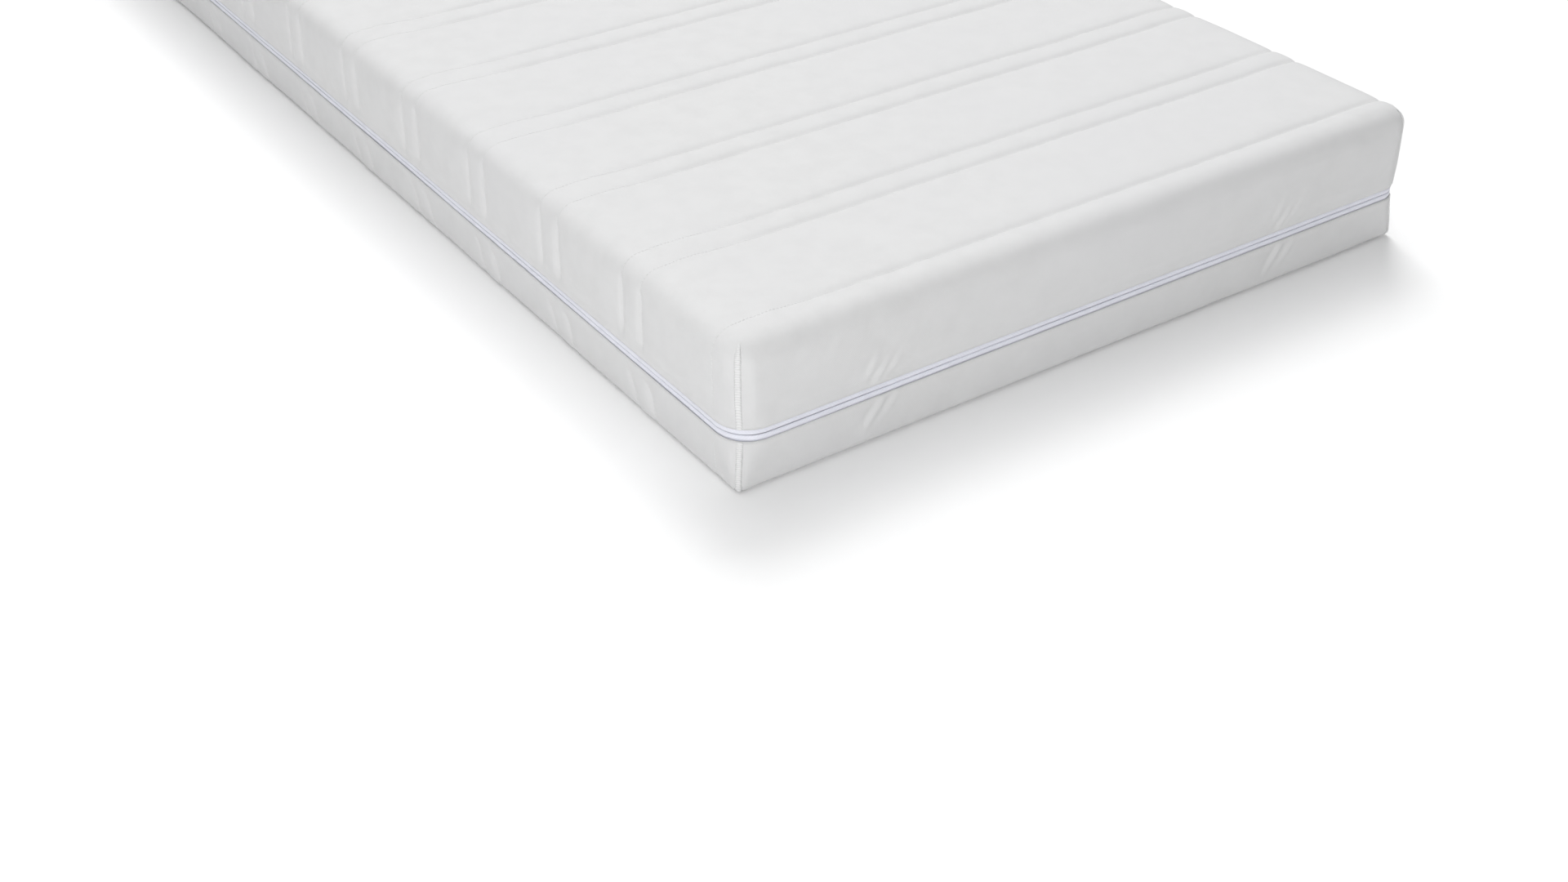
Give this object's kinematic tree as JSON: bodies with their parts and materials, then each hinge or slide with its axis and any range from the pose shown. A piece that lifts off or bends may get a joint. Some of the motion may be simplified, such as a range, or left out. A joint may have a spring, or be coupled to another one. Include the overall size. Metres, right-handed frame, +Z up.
{
  "type": "mattress",
  "caption": "Single foam mattress: memory foam over a support foam block, in a quilted white knit cover in two halves joined by a zip all round.",
  "frame": {"origin": "middle of the underside, on the bed base", "axes": "+X across the width, +Y along the length from the foot end to the head end, +Z up"},
  "size_m": [0.9033, 2.0007, 0.16],
  "materials": {
    "jersey": "white stretch double jersey, quilted",
    "fibre": "lofted polyester fibre",
    "fleece": "thin non-woven backing",
    "visco_foam": "open-cell memory foam, matt",
    "cold_foam": "open-cell support foam, matt",
    "tricot": "thin plain knit",
    "zip_tape": "woven polyester tape",
    "nylon": "pale nylon coil",
    "enamel": "painted zinc alloy",
    "thread": "polyester overlock thread",
    "satin": "plain satin ribbon, blank"
  },
  "bodies": {
    "cover_base": {"lower_cover_knit": "jersey", "lower_cover_wadding": "fibre", "lower_cover_backing": "fleece", "lower_zip_tape": "zip_tape", "lower_zip_coil": "nylon", "lower_zip_stop": "enamel", "zip_retainer_box": "enamel", "care_label": "satin", "lower_corner_seam_foot_left": "thread", "lower_corner_seam_foot_right": "thread", "lower_corner_seam_head_left": "thread", "lower_corner_seam_head_right": "thread"},
    "cover_top": {"upper_cover_knit": "jersey", "upper_cover_wadding": "fibre", "upper_cover_backing": "fleece", "upper_zip_tape": "zip_tape", "upper_zip_coil": "nylon", "upper_zip_stop": "enamel", "zip_insertion_pin": "enamel", "upper_corner_seam_foot_left": "thread", "upper_corner_seam_foot_right": "thread", "upper_corner_seam_head_left": "thread", "upper_corner_seam_head_right": "thread"},
    "core": {"support_foam": "cold_foam", "memory_foam": "visco_foam", "core_sock": "tricot"},
    "slider": {"zip_slider": "enamel"},
    "pull": {"zip_pull": "enamel"}
  },
  "joints": [
    {"name": "core_lift", "type": "slide", "parent": "cover_base", "child": "core", "axis": [0, 0, 1], "range_m": [0, 0.2]},
    {"name": "cover_top_lift", "type": "slide", "parent": "cover_base", "child": "cover_top", "axis": [0, 0, 1], "range_m": [0, 0.4]},
    {"name": "zip_slider_travel", "type": "slide", "parent": "cover_base", "child": "slider", "axis": [0, -1, 0], "range_m": [0, 1.8]},
    {"name": "zip_pull_flip", "type": "hinge", "parent": "slider", "child": "pull", "pos_m": [0.451, 0.908, 0.059], "axis": [0, 0, 1], "range_deg": [0, 178]}
  ],
  "couplings": [
    {"joint": "cover_top_lift", "follows": "core_lift", "ratio": 2}
  ]
}
